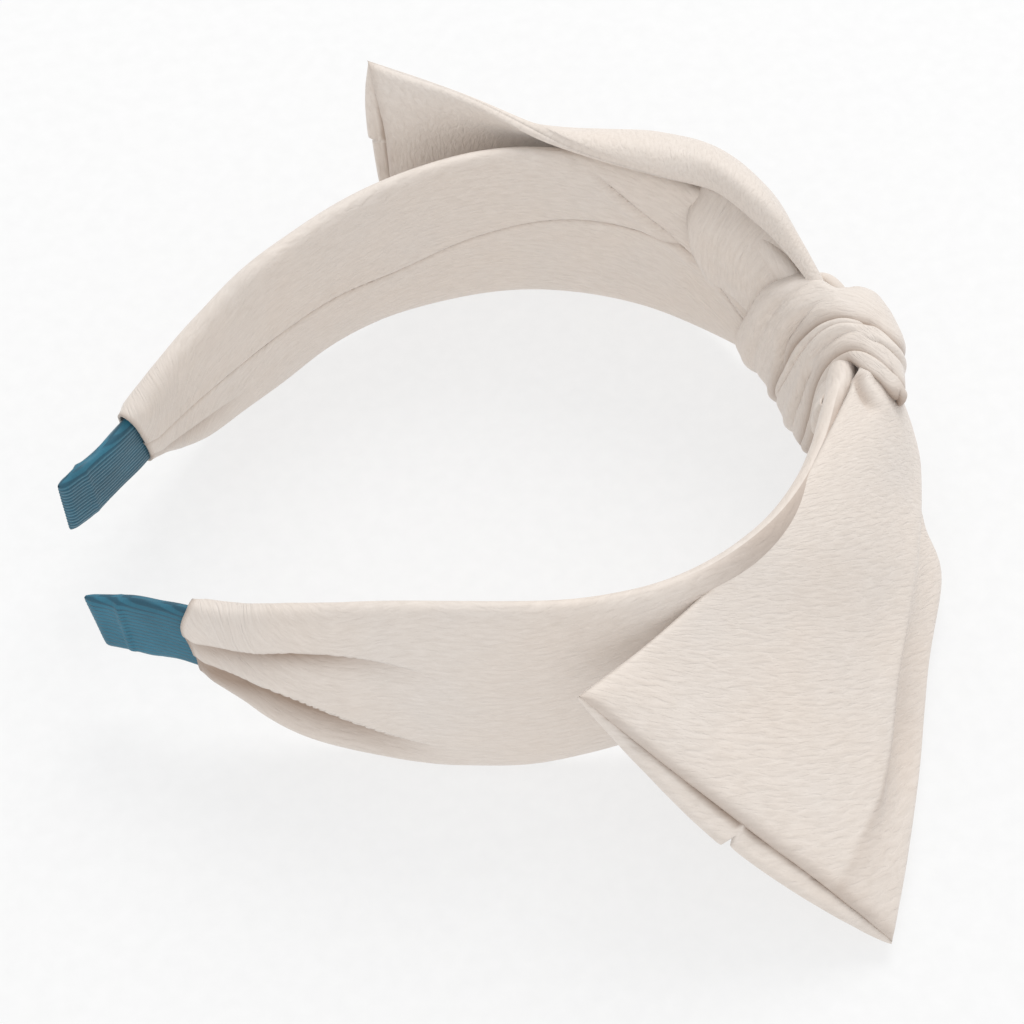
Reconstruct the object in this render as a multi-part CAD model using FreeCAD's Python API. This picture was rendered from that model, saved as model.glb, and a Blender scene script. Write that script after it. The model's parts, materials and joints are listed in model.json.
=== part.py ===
import FreeCAD, Part
import math
import os

# Knotted headband, lying on its side.  Millimetres.
# While it is being built, the crown of the hoop's centreline is at x = 0, y = 0, the arms run
# towards -X and the table is z = 0.  The left arm is on the -Y side and the right arm on +Y.
# place_on_origin() then moves everything so that the origin is the middle of the footprint.

# ---- driving dimensions -------------------------------------------------------------------
HALF_LENGTH = 180.0         # crown to tip, along the centreline of the hoop
BAND_HEIGHT = 43.0          # widest part of the fabric band
BAND_THICKNESS = 5.6        # fabric tube with its strip and pad inside
KNOT_BAND_HEIGHT = 30.0     # the band where the knot squeezes it
TIP_HEIGHT = 13.4           # ribbon-covered tips
RIBBON_FLARE = 3.0          # how much taller the ribbon is where the fabric tube ends
RIBBON_THICKNESS = 2.8      # ribbon folded round the strip, outside to outside
RIBBON_WALL = 0.35
RIBBON_TUCK = 4.0           # how far it goes into the fabric tube
TIP_LENGTH = 17.5           # ribbon that shows at each tip
FABRIC = 0.6                # one layer of crepe with its lining
STRIP_THICKNESS = 1.6       # moulded plastic strip
PAD_THICKNESS = 1.3         # thin foam on its outer side
GAP = 0.3                   # least space between neighbouring solids

# The hoop's centreline is five tangent arcs: (length, radius), and the tips turn outwards.
TIP_BEND = 18.0
HOOP_ARCS = [(87.5, 53.5), (24.5, 77.5), (HALF_LENGTH - 87.5 - 24.5 - TIP_BEND, 165.0), (TIP_BEND, -102.0)]

BAND_Z = BAND_HEIGHT / 2.0 + 0.35    # height of the hoop's centreline above the table
SLEEVE_END = HALF_LENGTH - TIP_LENGTH
LEFT_MOUTH = 17.0                    # where the left arm leaves the knot, along the centreline
PANEL_LENGTH = 14.0                  # lapped panel on the inner face, beside the knot
RIGHT_MOUTH = 30.5                   # and the right arm, because the knot leans that way

# Half height of the band above and below its centreline, as (distance from crown, up, down).
BAND_PROFILE = [
    (0.0, KNOT_BAND_HEIGHT / 2, KNOT_BAND_HEIGHT / 2),
    (17.0, 16.6, 16.4),
    (45.0, 20.6, 20.4),
    (90.0, BAND_HEIGHT / 2, BAND_HEIGHT / 2),
    (130.0, 18.0, BAND_HEIGHT / 2),
    (150.0, 11.5, 15.0),
    (SLEEVE_END, (TIP_HEIGHT + RIBBON_FLARE) / 2 + 1.0, (TIP_HEIGHT + RIBBON_FLARE) / 2 + 0.6),
    (HALF_LENGTH + 10.0, TIP_HEIGHT / 2, TIP_HEIGHT / 2),
]

# Half height of the plastic strip, as (distance from crown, half height).
STRIP_PROFILE = [(0.0, 11.0), (90.0, 11.0), (130.0, 9.0), (150.0, 6.5), (SLEEVE_END, 5.0), (HALF_LENGTH, 5.0)]
STRIP_OFFSET = -0.5         # it sits a little inside the centreline, to leave room for the pad
STRIP_SECTIONS = 61
SLEEVE_SECTIONS = 25

# The knot's wraps lean: their planes are y = y0 - WRAP_LEAN * (z - BAND_Z) - WRAP_SKEW * (x - x0).
WRAP_LEAN = 0.40
WRAP_SKEW = 0.10
KNOT_HALF_HEIGHT = BAND_Z - 0.7
KNOT_CENTRE_X = 4.2
OUTER_WRAP_DEPTH = 11.5     # half the depth of the outer wrap, across the band

LEFT = -1.0
RIGHT = 1.0


# ---- the hoop's centreline ----------------------------------------------------------------
def hoop_point(distance, side):
    """Centreline point and outward unit normal, at a distance from the crown."""
    x = 0.0
    y = 0.0
    turn = 0.0
    left_over = distance
    for length, radius in HOOP_ARCS:
        run = min(left_over, length)
        if length == TIP_BEND:
            run = left_over
        end_turn = turn + run / radius
        x += radius * (math.cos(end_turn) - math.cos(turn))
        y += radius * (math.sin(end_turn) - math.sin(turn))
        turn = end_turn
        left_over -= run
        if left_over <= 0.0:
            break
    centre = FreeCAD.Vector(x, side * y, BAND_Z)
    outward = FreeCAD.Vector(math.cos(turn), side * math.sin(turn), 0.0)
    return centre, outward


def between(table, value, column):
    """Straight-line interpolation in one column of a table sorted on its first column."""
    for low, high in zip(table, table[1:]):
        if value <= high[0]:
            share = (value - low[0]) / (high[0] - low[0])
            return low[column] + share * (high[column] - low[column])
    return table[-1][column]


# ---- closed outlines and lofts ------------------------------------------------------------
def closed_curve(points):
    curve = Part.BSplineCurve()
    curve.interpolate(points, PeriodicFlag=True)
    return Part.Wire([curve.toShape()])


def rounded_power(angle, power):
    """Cosine and sine of an angle, pushed out towards a rounded rectangle."""
    c = math.cos(angle)
    s = math.sin(angle)
    across = math.copysign(abs(c) ** (2.0 / power), c)
    up = math.copysign(abs(s) ** (2.0 / power), s)
    return across, up


def band_outline(distance, side, thickness, up, down, offset=0.0):
    """Cross-section of the band, standing across the centreline: two flats and two round edges."""
    centre, outward = hoop_point(distance, side)
    middle = centre + outward * offset
    reach = outward * (thickness / 2)
    rise = FreeCAD.Vector(0, 0, thickness / 2)
    top = middle + FreeCAD.Vector(0, 0, up) - rise
    bottom = middle - FreeCAD.Vector(0, 0, down) + rise
    edges = [
        Part.makeLine(bottom + reach, top + reach),
        Part.Arc(top + reach, top + rise, top - reach).toShape(),
        Part.makeLine(top - reach, bottom - reach),
        Part.Arc(bottom - reach, bottom - rise, bottom + reach).toShape(),
    ]
    return Part.Wire(edges)


def band_tube(distances, side, thickness, shrink, offset=0.0):
    """Solid that follows the hoop, with the band's height less a margin above and below."""
    wires = []
    for distance in distances:
        up = between(BAND_PROFILE, distance, 1) - shrink
        down = between(BAND_PROFILE, distance, 2) - shrink
        wires.append(band_outline(distance, side, thickness, up, down, offset))
    return Part.makeLoft(wires, True, True)


def spread(start, end, count):
    step = (end - start) / (count - 1)
    return [start + step * i for i in range(count)]


# ---- the hoop: plastic strip and foam pad -------------------------------------------------
def whole_hoop_strip(thickness, offset, end, extra_height):
    """A strip that follows the hoop through the knot, rectangular in section."""
    wires = []
    for signed in spread(-end, end, STRIP_SECTIONS):
        side = LEFT if signed < 0 else RIGHT
        centre, outward = hoop_point(abs(signed), side)
        middle = centre + outward * offset
        half = outward * (thickness / 2)
        rise = FreeCAD.Vector(0, 0, between(STRIP_PROFILE, abs(signed), 1) + extra_height)
        corners = [middle + half + rise, middle - half + rise, middle - half - rise, middle + half - rise]
        wires.append(Part.makePolygon(corners + [corners[0]]))
    return Part.makeLoft(wires, True, True)


def make_hoop_strip():
    return whole_hoop_strip(STRIP_THICKNESS, STRIP_OFFSET, HALF_LENGTH - 1.5, 0.0)


def make_foam_pad():
    offset = STRIP_OFFSET + STRIP_THICKNESS / 2 + GAP + PAD_THICKNESS / 2
    return whole_hoop_strip(PAD_THICKNESS, offset, SLEEVE_END - 22.0, 1.0)


# ---- fabric of the arms -------------------------------------------------------------------
def make_sleeve(side, start):
    """Open fabric tube from the knot's mouth to the ribbon."""
    distances = spread(start, SLEEVE_END, SLEEVE_SECTIONS)
    skin = band_tube(distances, side, BAND_THICKNESS, 0.0)
    distances[0] -= 1.0
    distances[-1] += 1.0
    hollow = band_tube(distances, side, BAND_THICKNESS - 2 * FABRIC, FABRIC)
    return skin.cut(hollow)


def make_crown_sleeve():
    """The same tube where it passes through the knot."""
    def stations(extra):
        return spread(-LEFT_MOUTH + 1.0 - extra, RIGHT_MOUTH - 1.0 + extra, 6)

    def tube(extra, thickness, shrink):
        wires = []
        for signed in stations(extra):
            side = LEFT if signed < 0 else RIGHT
            half = KNOT_BAND_HEIGHT / 2 - shrink
            wires.append(band_outline(abs(signed), side, thickness, half, half))
        return Part.makeLoft(wires, True, False)

    return tube(0.0, BAND_THICKNESS, 0.0).cut(tube(1.0, BAND_THICKNESS - 2 * FABRIC, FABRIC))


def make_sleeve_seam(side, start):
    """The thread of the seam that closes the tube, on its inner face."""
    radius = 0.25
    offset = -(BAND_THICKNESS / 2 + radius + 0.2)
    wires = []
    for distance in spread(start + PANEL_LENGTH + 2.0, SLEEVE_END - 6.0, 12):
        centre, outward = hoop_point(distance, side)
        along = outward.cross(FreeCAD.Vector(0, 0, 1))
        circle = Part.makeCircle(radius, centre + outward * offset, along)
        wires.append(Part.Wire([circle]))
    return Part.makeLoft(wires, True, False)


def make_inner_panel(side, start):
    """Lapped end of the fabric on the inner face, beside the knot."""
    thickness = 2 * FABRIC
    offset = -(BAND_THICKNESS / 2 + thickness / 2 + GAP + 0.1)
    distances = spread(start + 1.0, start + PANEL_LENGTH, 4)
    return band_tube(distances, side, thickness, 1.0, offset)


def make_tip_ribbon(side):
    """Grosgrain ribbon wrapped round the tip and closed at its end."""
    start = SLEEVE_END - RIBBON_TUCK
    length = HALF_LENGTH - SLEEVE_END

    def sections(first, last, thickness, shrink):
        wires = []
        for distance in spread(first, last, 5):
            flare = max(0.0, min(1.0, (HALF_LENGTH - distance) / length)) * RIBBON_FLARE
            half = (TIP_HEIGHT + flare) / 2 - shrink
            wires.append(band_outline(distance, side, thickness, half, half, STRIP_OFFSET))
        return Part.makeLoft(wires, True, False)

    outer = sections(start, HALF_LENGTH + 0.6, RIBBON_THICKNESS, 0.0)
    inner = sections(start - 1.0, HALF_LENGTH - 0.6, RIBBON_THICKNESS - 2 * RIBBON_WALL, RIBBON_WALL)
    return outer.cut(inner)


# ---- the knot -----------------------------------------------------------------------------
def knot_centre(y):
    """How far out the middle of the knot is, where the hoop bends away under it."""
    return KNOT_CENTRE_X - y * y / (2 * HOOP_ARCS[0][1])


def wrap_outline(y0, half_depth, half_height, power):
    """One closed loop of cloth round the band, in a leaning plane."""
    points = []
    corners = 24
    for i in range(corners):
        across, rise = rounded_power(2 * math.pi * (i + 0.5) / corners, power)
        height = rise * half_height - 0.9
        x = knot_centre(y0 - WRAP_LEAN * height) + across * half_depth
        y = y0 - WRAP_LEAN * height - WRAP_SKEW * (x - KNOT_CENTRE_X)
        points.append(FreeCAD.Vector(x, y, BAND_Z + height))
    return closed_curve(points)


def make_wrap(stations, wall):
    """A band of cloth round the knot: a leaning tube that bulges in the middle."""
    outer = []
    inner = []
    for y0, half_depth, half_height in stations:
        outer.append(wrap_outline(y0, half_depth, half_height, 3.0))
    first = stations[0]
    last = stations[-1]
    narrow = min(first[1], last[1]) - wall
    low = min(first[2], last[2]) - wall
    for y0 in (first[0] - 1.0, (first[0] + last[0]) / 2, last[0] + 1.0):
        inner.append(wrap_outline(y0, narrow, low, 4.5))
    ring = Part.makeLoft(outer, True, False).cut(Part.makeLoft(inner, True, False))
    return rest_on_table(ring)


def rest_on_table(shape):
    """Cut off what the table presses flat."""
    size = 400.0
    table = Part.makeBox(size, size, 50.0, FreeCAD.Vector(-size / 2, -size / 2, -50.0))
    return shape.cut(table)


def make_outer_wrap():
    tall = KNOT_HALF_HEIGHT
    stations = [(1.4, 10.4, tall - 0.9), (5.3, 11.2, tall + 0.2), (9.6, OUTER_WRAP_DEPTH, tall + 0.2),
                (14.2, 11.2, tall + 0.2), (18.2, 10.2, tall - 0.9)]
    return make_wrap(stations, 1.4)


def make_inner_wrap():
    tall = KNOT_HALF_HEIGHT
    stations = [(-5.6, 9.8, tall - 1.6), (-3.6, 10.6, tall - 0.4), (-1.2, 10.8, tall - 0.2), (1.0, 10.2, tall - 0.9)]
    return make_wrap(stations, 1.1)


def make_lip_loop():
    tall = KNOT_HALF_HEIGHT
    stations = [(-8.4, 8.8, tall - 3.0), (-7.2, 9.5, tall - 2.2), (-6.0, 9.5, tall - 2.0)]
    return make_wrap(stations, 0.8)


def make_filling():
    """Folded cloth that packs the knot, outside the band."""
    wires = []
    for y0, half_depth, half_height in ((-3.5, 1.6, 8.0), (2.0, 2.1, 12.0), (9.0, 2.2, 12.5), (14.5, 1.6, 8.0)):
        centre_x = knot_centre(y0) + 2.2
        points = []
        corners = 12
        for i in range(corners):
            across, rise = rounded_power(2 * math.pi * (i + 0.5) / corners, 2.2)
            points.append(FreeCAD.Vector(centre_x + across * half_depth, y0, BAND_Z + rise * half_height))
        wires.append(closed_curve(points))
    return Part.makeLoft(wires, True, False)


def make_tack_stitches():
    """Hand stitches on the inner face that hold the knot where it is."""
    stitches = []
    for z in (BAND_Z - 7.0, BAND_Z, BAND_Z + 7.0):
        y = 10.0 - WRAP_LEAN * (z - BAND_Z)
        start = FreeCAD.Vector(knot_centre(y) - OUTER_WRAP_DEPTH - 0.5, y - 2.0, z)
        stitch = Part.makeCylinder(0.35, 4.0, start, FreeCAD.Vector(-0.12, 1.0, 0.15))
        stitches.append(stitch)
    return Part.makeCompound(stitches)


# ---- the tails ----------------------------------------------------------------------------
EDGE_SHARE = 0.6            # how much of its thickness a tail keeps along its long edges
TAIL_ROOT = 4.0             # thickness of a tail at its root and at its end
TAIL_END = 3.0
INTERLINING = 0.5           # stiff sheet inside each tail

# Each tail is a flat fabric tube.  A station is four points across the tube, from its upper
# edge to its lower edge.  Stations run from the root to the end.
LEFT_TAIL = [
    ((1.8, -20.6, 40.0), (4.8, -19.6, 34.0), (7.8, -18.6, 27.0), (9.8, -18.1, 20.0)),
    ((-5.0, -34.0, 41.5), (2.6, -31.6, 35.0), (8.4, -28.6, 22.0), (10.9, -26.1, 8.5)),
    ((-17.4, -47.5, 41.5), (-8.4, -45.0, 32.0), (3.1, -42.0, 17.0), (9.6, -40.0, 4.0)),
    ((-35.0, -57.0, 41.0), (-21.0, -58.5, 29.0), (-6.0, -60.0, 14.0), (1.0, -58.5, 3.0)),
    ((-53.0, -62.0, 40.5), (-38.5, -69.5, 28.0), (-21.0, -76.5, 13.0), (-8.0, -76.5, 2.8)),
    ((-69.0, -66.5, 40.0), (-55.5, -79.0, 27.5), (-41.0, -92.5, 14.5), (-28.5, -104.5, 2.6)),
]
RIGHT_TAIL = [
    ((-1.6, 19.8, 43.0), (0.8, 22.8, 38.5), (1.6, 25.6, 30.0), (2.4, 28.4, 19.0)),
    ((-8.0, 31.6, 48.5), (-4.2, 35.6, 42.5), (-1.6, 38.6, 28.0), (0.0, 41.0, 9.0)),
    ((-18.5, 42.5, 49.5), (-14.5, 47.0, 42.5), (-9.0, 51.5, 26.0), (-5.5, 55.5, 4.5)),
    ((-33.0, 52.5, 49.8), (-30.5, 57.0, 41.5), (-27.0, 62.0, 24.0), (-22.5, 67.0, 3.5)),
    ((-48.0, 63.0, 50.0), (-47.5, 62.5, 40.0), (-46.5, 64.5, 22.0), (-45.0, 69.5, 3.2)),
    ((-62.0, 75.5, 50.4), (-62.2, 70.5, 39.5), (-61.5, 69.0, 21.0), (-60.0, 72.0, 3.2)),
]


def tail_surface(stations):
    """Middle surface of a tail, through its stations."""
    rows = []
    for station in stations:
        rows.append([FreeCAD.Vector(*point) for point in station[:4]])
    surface = Part.BSplineSurface()
    surface.interpolate(rows)
    return surface


def offset_face(surface, height, along, across):
    """Smooth face over part of a tail, at a height above its middle surface."""
    rows = []
    for u in along:
        points = []
        for v in across:
            edge = EDGE_SHARE if v in (across[0], across[-1]) else 1.0
            points.append(surface.value(u, v) + surface.normal(u, v) * (height(u) * edge))
        rows.append(points)
    face = Part.BSplineSurface()
    face.interpolate(rows)
    return face.toShape()


def sheet_solid(surface, height, along, across):
    """Closed solid that is as far above the middle surface as below it."""
    front = offset_face(surface, height, along, across)
    back = offset_face(surface, lambda u: -height(u), along, across)
    faces = [front, back]
    for front_edge, back_edge in zip(front.Edges, back.Edges):
        faces.append(Part.makeRuledSurface(front_edge, back_edge))
    shell = Part.makeShell(faces)
    shell.sewShape()
    solid = Part.makeSolid(Part.Shell(shell.Faces))
    if solid.Volume < 0:
        solid.reverse()
    return solid


def tail_height(u):
    """Half the thickness of a tail, from its root at 0 to its end at 1."""
    return (TAIL_ROOT + (TAIL_END - TAIL_ROOT) * u) / 2


def make_tail_cover(stations):
    """Fabric tube, open at the gathered root and sewn shut at its end."""
    surface = tail_surface(stations)
    skin = sheet_solid(surface, tail_height, spread(0.0, 1.0, 11), spread(0.0, 1.0, 8))
    hollow = sheet_solid(surface, lambda u: tail_height(u) - FABRIC, spread(-0.02, 0.99, 11), spread(0.02, 0.98, 8))
    return skin.cut(hollow)


def make_interlining(stations):
    """Stiff sheet between the two layers that keeps the tail open."""
    surface = tail_surface(stations)
    return sheet_solid(surface, lambda u: INTERLINING / 2, spread(0.03, 0.95, 11), spread(0.05, 0.95, 8))


def thread_between(points, radius):
    """Thread of round section along a smooth path."""
    curve = Part.BSplineCurve()
    curve.interpolate(points)
    wires = []
    count = 9
    for i in range(count):
        at = curve.FirstParameter + (curve.LastParameter - curve.FirstParameter) * i / (count - 1)
        circle = Part.makeCircle(radius, curve.value(at), curve.tangent(at)[0])
        wires.append(Part.Wire([circle]))
    return Part.makeLoft(wires, True, False)


def make_end_seam(stations):
    """Stitching that closes the end of the tail, between its layers."""
    surface = tail_surface(stations)
    points = [surface.value(0.97, v) for v in spread(0.05, 0.95, 7)]
    return thread_between(points, 0.3)


def make_back_seam(stations, under):
    """Thread of the seam down the middle of the tail's under layer."""
    radius = 0.25
    surface = tail_surface(stations)
    points = []
    for u in spread(0.3, 0.97, 7):
        out = tail_height(u) + radius + GAP + 0.1
        points.append(surface.value(u, 0.5) + surface.normal(u, 0.5) * (under * out))
    return thread_between(points, radius)


# ---- the whole headband -------------------------------------------------------------------
def build():
    nodes = {
        "hoop_strip": make_hoop_strip(),
        "foam_pad": make_foam_pad(),
        "crown_sleeve": make_crown_sleeve(),
        "knot_outer_wrap": make_outer_wrap(),
        "knot_inner_wrap": make_inner_wrap(),
        "knot_lip_loop": make_lip_loop(),
        "knot_filling": make_filling(),
        "knot_tack_stitches": make_tack_stitches(),
    }
    arms = (("left", LEFT, LEFT_MOUTH, LEFT_TAIL, -1.0), ("right", RIGHT, RIGHT_MOUTH, RIGHT_TAIL, 1.0))
    for name, side, mouth, tail, under in arms:
        nodes[name + "_sleeve"] = make_sleeve(side, mouth)
        nodes[name + "_sleeve_seam"] = make_sleeve_seam(side, mouth)
        nodes[name + "_inner_panel"] = make_inner_panel(side, mouth)
        nodes[name + "_tip_ribbon"] = make_tip_ribbon(side)
        nodes[name + "_tail_cover"] = make_tail_cover(tail)
        nodes[name + "_tail_interlining"] = make_interlining(tail)
        nodes[name + "_tail_end_seam"] = make_end_seam(tail)
        nodes[name + "_tail_back_seam"] = make_back_seam(tail, under)
    return nodes


def place_on_origin(nodes):
    """Move everything so that the origin is the middle of the footprint, on the table."""
    box = FreeCAD.BoundBox()
    for shape in nodes.values():
        for point in shape.tessellate(0.05)[0]:
            box.add(point)
    move = FreeCAD.Vector(-(box.XMin + box.XMax) / 2, -(box.YMin + box.YMax) / 2, -box.ZMin)
    for shape in nodes.values():
        shape.translate(move)
    return move, box


def main():
    nodes = build()
    move, box = place_on_origin(nodes)
    os.makedirs("parts", exist_ok=True)
    for name, shape in nodes.items():
        shape.exportStep("parts/" + name + ".step")
        print(name, "solids", len(shape.Solids), "valid", shape.isValid(), "volume", round(shape.Volume, 1))
    print("size", round(box.XLength, 2), round(box.YLength, 2), round(box.ZLength, 2))
    print("crown of the centreline at", round(move.x, 3), round(move.y, 3), round(move.z, 3))
    for name, distance, side in (("left", LEFT_MOUTH - 0.5, LEFT), ("right", RIGHT_MOUTH - 0.5, RIGHT)):
        pivot = hoop_point(distance, side)[0] + move
        print(name, "arm pivot", round(pivot.x, 3), round(pivot.y, 3))


main()
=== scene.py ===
"""Looks of a knotted fabric headband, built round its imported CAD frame.

Lengths in the shape functions are millimetres from the crown of the hoop: the arms run towards -X, the
left arm lies on the -Y side, the right arm on +Y, and the table is z = 0.  placed() turns them into
metres in the frame.
"""

import json
import math

import bpy
import numpy as np
from mathutils import Matrix, Vector, noise


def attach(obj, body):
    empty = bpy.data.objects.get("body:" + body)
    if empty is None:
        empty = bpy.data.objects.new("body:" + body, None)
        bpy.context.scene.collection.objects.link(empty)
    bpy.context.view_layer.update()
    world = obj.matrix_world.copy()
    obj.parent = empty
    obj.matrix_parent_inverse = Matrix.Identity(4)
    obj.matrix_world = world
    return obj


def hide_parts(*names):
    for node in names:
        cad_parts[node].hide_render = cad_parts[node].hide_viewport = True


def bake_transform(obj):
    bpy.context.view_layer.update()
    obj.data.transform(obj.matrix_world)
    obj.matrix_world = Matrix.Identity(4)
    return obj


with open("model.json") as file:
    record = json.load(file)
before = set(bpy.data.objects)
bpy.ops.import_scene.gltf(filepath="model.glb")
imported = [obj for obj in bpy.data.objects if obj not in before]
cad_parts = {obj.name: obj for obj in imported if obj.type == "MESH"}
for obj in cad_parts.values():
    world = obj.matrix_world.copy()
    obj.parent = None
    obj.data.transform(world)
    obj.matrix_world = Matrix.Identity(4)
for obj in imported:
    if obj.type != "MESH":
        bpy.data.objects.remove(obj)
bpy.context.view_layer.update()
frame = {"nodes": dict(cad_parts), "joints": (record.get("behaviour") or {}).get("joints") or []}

LEFT, RIGHT = -1, 1
SIDE_NAME = {LEFT: "left", RIGHT: "right"}
BAND_Z = 21.85                  # height of the hoop's centreline above the table
ARCS = ((87.5, 53.5), (24.5, 77.5), (50.0, 165.0), (18.0, -102.0))    # (length, radius) from the crown
PIVOT = 16.5                    # the left arm's joint, along the centreline
SLEEVE_END = 162.5              # where the fabric tube stops and the ribbon shows
TIP = 180.6                     # end of the arm
CLOTH = 0.5                     # thickness of the crepe
RIB_PITCH = 0.95                # from one rib of the ribbon to the next


# ---- curves ----------------------------------------------------------------------------------
def ease(low, high, value):
    """0 below low, 1 above high, and smooth between."""
    share = np.clip((np.asarray(value, float) - low) / (high - low), 0.0, 1.0)
    return share * share * (3 - 2 * share)


def hill(value, centre, width):
    """Smooth bump of height 1."""
    return np.exp(-((np.asarray(value, float) - centre) / width) ** 2)


def hermite(a, b, slope_a, slope_b, share):
    """Cubic from a to b with the given slopes at its ends."""
    square = share * share
    cube = square * share
    value = a * (2 * cube - 3 * square + 1) + b * (3 * square - 2 * cube)
    return value + slope_a * (cube - 2 * square + share) + slope_b * (cube - square)


def through(table, value):
    """Smooth curve through (position, height) pairs, flat beyond its ends."""
    at, height = np.array(table, float).T
    value = np.clip(np.asarray(value, float), at[0], at[-1])
    slope = np.gradient(height, at)
    cell = np.clip(np.searchsorted(at, value) - 1, 0, len(at) - 2)
    step = at[cell + 1] - at[cell]
    share = (value - at[cell]) / step
    return hermite(height[cell], height[cell + 1], slope[cell] * step, slope[cell + 1] * step, share)


def smooth_rows(knots, at):
    """Smooth curve through evenly spaced knots, at 0 to 1, going straight on beyond its ends."""
    knots = np.asarray(knots, float)
    last = len(knots) - 1
    slope = np.gradient(knots, axis=0)
    place = np.asarray(at, float) * last
    cell = np.clip(np.floor(place), 0, last - 1).astype(int)
    share = np.clip(place - cell, 0.0, 1.0)
    beyond = place - cell - share
    shape = share.shape + (1,) * (knots.ndim - 1)
    share = share.reshape(shape)
    beyond = beyond.reshape(shape)
    value = hermite(knots[cell], knots[cell + 1], slope[cell], slope[cell + 1], share)
    return value + beyond * np.where(beyond < 0, slope[cell], slope[cell + 1])


def ripple(points, along, across, seed):
    """Smooth noise from -1 to 1 over an array of (u, v) pairs, with features of the given sizes."""
    flat = np.asarray(points, float).reshape(-1, 2)
    values = [noise.noise(Vector((u / along, v / across, seed))) for u, v in flat]
    return np.array(values).reshape(np.asarray(points).shape[:-1])


def hoop(distance, side):
    """Centreline x and y, and the outward normal's x and y, at a distance from the crown."""
    left_over = np.asarray(distance, float)
    x = 0.0
    y = 0.0
    turn = np.zeros_like(left_over)
    for i, (length, radius) in enumerate(ARCS):
        run = left_over
        if i < len(ARCS) - 1:
            run = np.minimum(run, length)
        if i > 0:
            run = np.maximum(run, 0.0)
        end = turn + run / radius
        x = x + radius * (np.cos(end) - np.cos(turn))
        y = y + radius * (np.sin(end) - np.sin(turn))
        turn = end
        left_over = left_over - run
    return x, side * y, np.cos(turn), side * np.sin(turn)


pivot_x, pivot_y, _, _ = hoop(PIVOT, LEFT)
flex = next(joint for joint in frame["joints"] if joint["name"] == "left_arm_flex")
ORIGIN = np.array(flex["pos_m"]) * 1000 - np.array([float(pivot_x), float(pivot_y), BAND_Z])


def placed(points):
    """Points in millimetres from the crown, as metres in the frame."""
    return (np.asarray(points, float) + ORIGIN) / 1000


def spot(x, y, z):
    return Vector(placed((x, y, z)))


def add_object(name, data):
    made = bpy.data.objects.new(name, data)
    bpy.context.scene.collection.objects.link(made)
    return made


# ---- meshes ----------------------------------------------------------------------------------
def unit(vectors):
    return vectors / np.maximum(np.linalg.norm(vectors, axis=-1, keepdims=True), 1e-9)


def grid_normals(points, closed):
    """Unit normals of a grid of points whose columns may close on themselves."""
    along = np.gradient(points, axis=0)
    if closed:
        across = np.roll(points, -1, axis=1) - np.roll(points, 1, axis=1)
    else:
        across = np.gradient(points, axis=1)
    return unit(np.cross(along, across))


def grid_faces(rows, columns, closed, start=0, flip=False):
    last = columns if closed else columns - 1
    faces = []
    for row in range(rows - 1):
        for column in range(last):
            after = (column + 1) % columns
            a = start + row * columns + column
            b = start + row * columns + after
            face = (a, b, b + columns, a + columns)
            faces.append(face[::-1] if flip else face)
    return faces


def rim_faces(rows, columns, closed, second, flip):
    """The strips that join an outer grid to an inner one round their open edges."""
    loops = []
    row_count = columns if closed else columns - 1
    for row, turned in ((0, False), (rows - 1, True)):
        for column in range(row_count):
            after = (column + 1) % columns
            loops.append((row * columns + column, row * columns + after, turned))
    if not closed:
        for column, turned in ((0, True), (columns - 1, False)):
            for row in range(rows - 1):
                loops.append((row * columns + column, (row + 1) * columns + column, turned))
    faces = []
    for a, b, turned in loops:
        face = (a, a + second, b + second, b)
        faces.append(face[::-1] if turned != flip else face)
    return faces


def build(name, vertices, faces, uv, material, shade=None):
    """A mesh whose layer cloth holds places on the cloth in millimetres, and crease the painted shade, how
    much each place is darkened.
    """
    mesh = bpy.data.meshes.new(name)
    mesh.from_pydata([tuple(v) for v in vertices], [], faces)
    corner = np.empty(len(mesh.loops), int)
    mesh.loops.foreach_get("vertex_index", corner)
    mesh.uv_layers.new(name="cloth").data.foreach_set("uv", np.asarray(uv, np.float32)[corner].ravel())
    # depth here is the painted shade from 0 to 1, not the depth of a fold.
    depth = np.zeros(len(vertices)) if shade is None else np.asarray(shade, float).ravel()
    pairs = np.stack([depth, 0 * depth], axis=-1).astype(np.float32)
    mesh.uv_layers.new(name="crease").data.foreach_set("uv", pairs[corner].ravel())
    mesh.polygons.foreach_set("use_smooth", [True] * len(mesh.polygons))
    mesh.materials.append(material)
    mesh.validate()
    return add_object(name, mesh)


def cloth(name, points, uv, material, closed=False, thickness=CLOTH, flip=False, shade=None):
    """A sheet with real thickness: the grid is its outer face.  flip turns the outer face over."""
    rows, columns = points.shape[:2]
    normals = grid_normals(points, closed)
    if flip:
        normals = -normals
    inner = points - normals * np.asarray(thickness, float).reshape(1, -1, 1)
    count = rows * columns
    vertices = placed(np.concatenate([points.reshape(-1, 3), inner.reshape(-1, 3)]))
    faces = grid_faces(rows, columns, closed, 0, flip)
    faces += grid_faces(rows, columns, closed, count, not flip)
    faces += rim_faces(rows, columns, closed, count, flip)
    doubled = np.concatenate([uv.reshape(-1, 2), uv.reshape(-1, 2)])
    if shade is not None:
        shade = np.concatenate([shade.ravel(), shade.ravel()])
    return build(name, vertices, faces, doubled, material, shade)


def running_length(points, axis):
    """Distance along each line of a grid, from its first point."""
    steps = np.linalg.norm(np.diff(points, axis=axis), axis=-1)
    total = np.cumsum(steps, axis=axis)
    first = np.zeros_like(np.take(total, [0], axis=axis))
    return np.concatenate([first, total], axis=axis)


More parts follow.
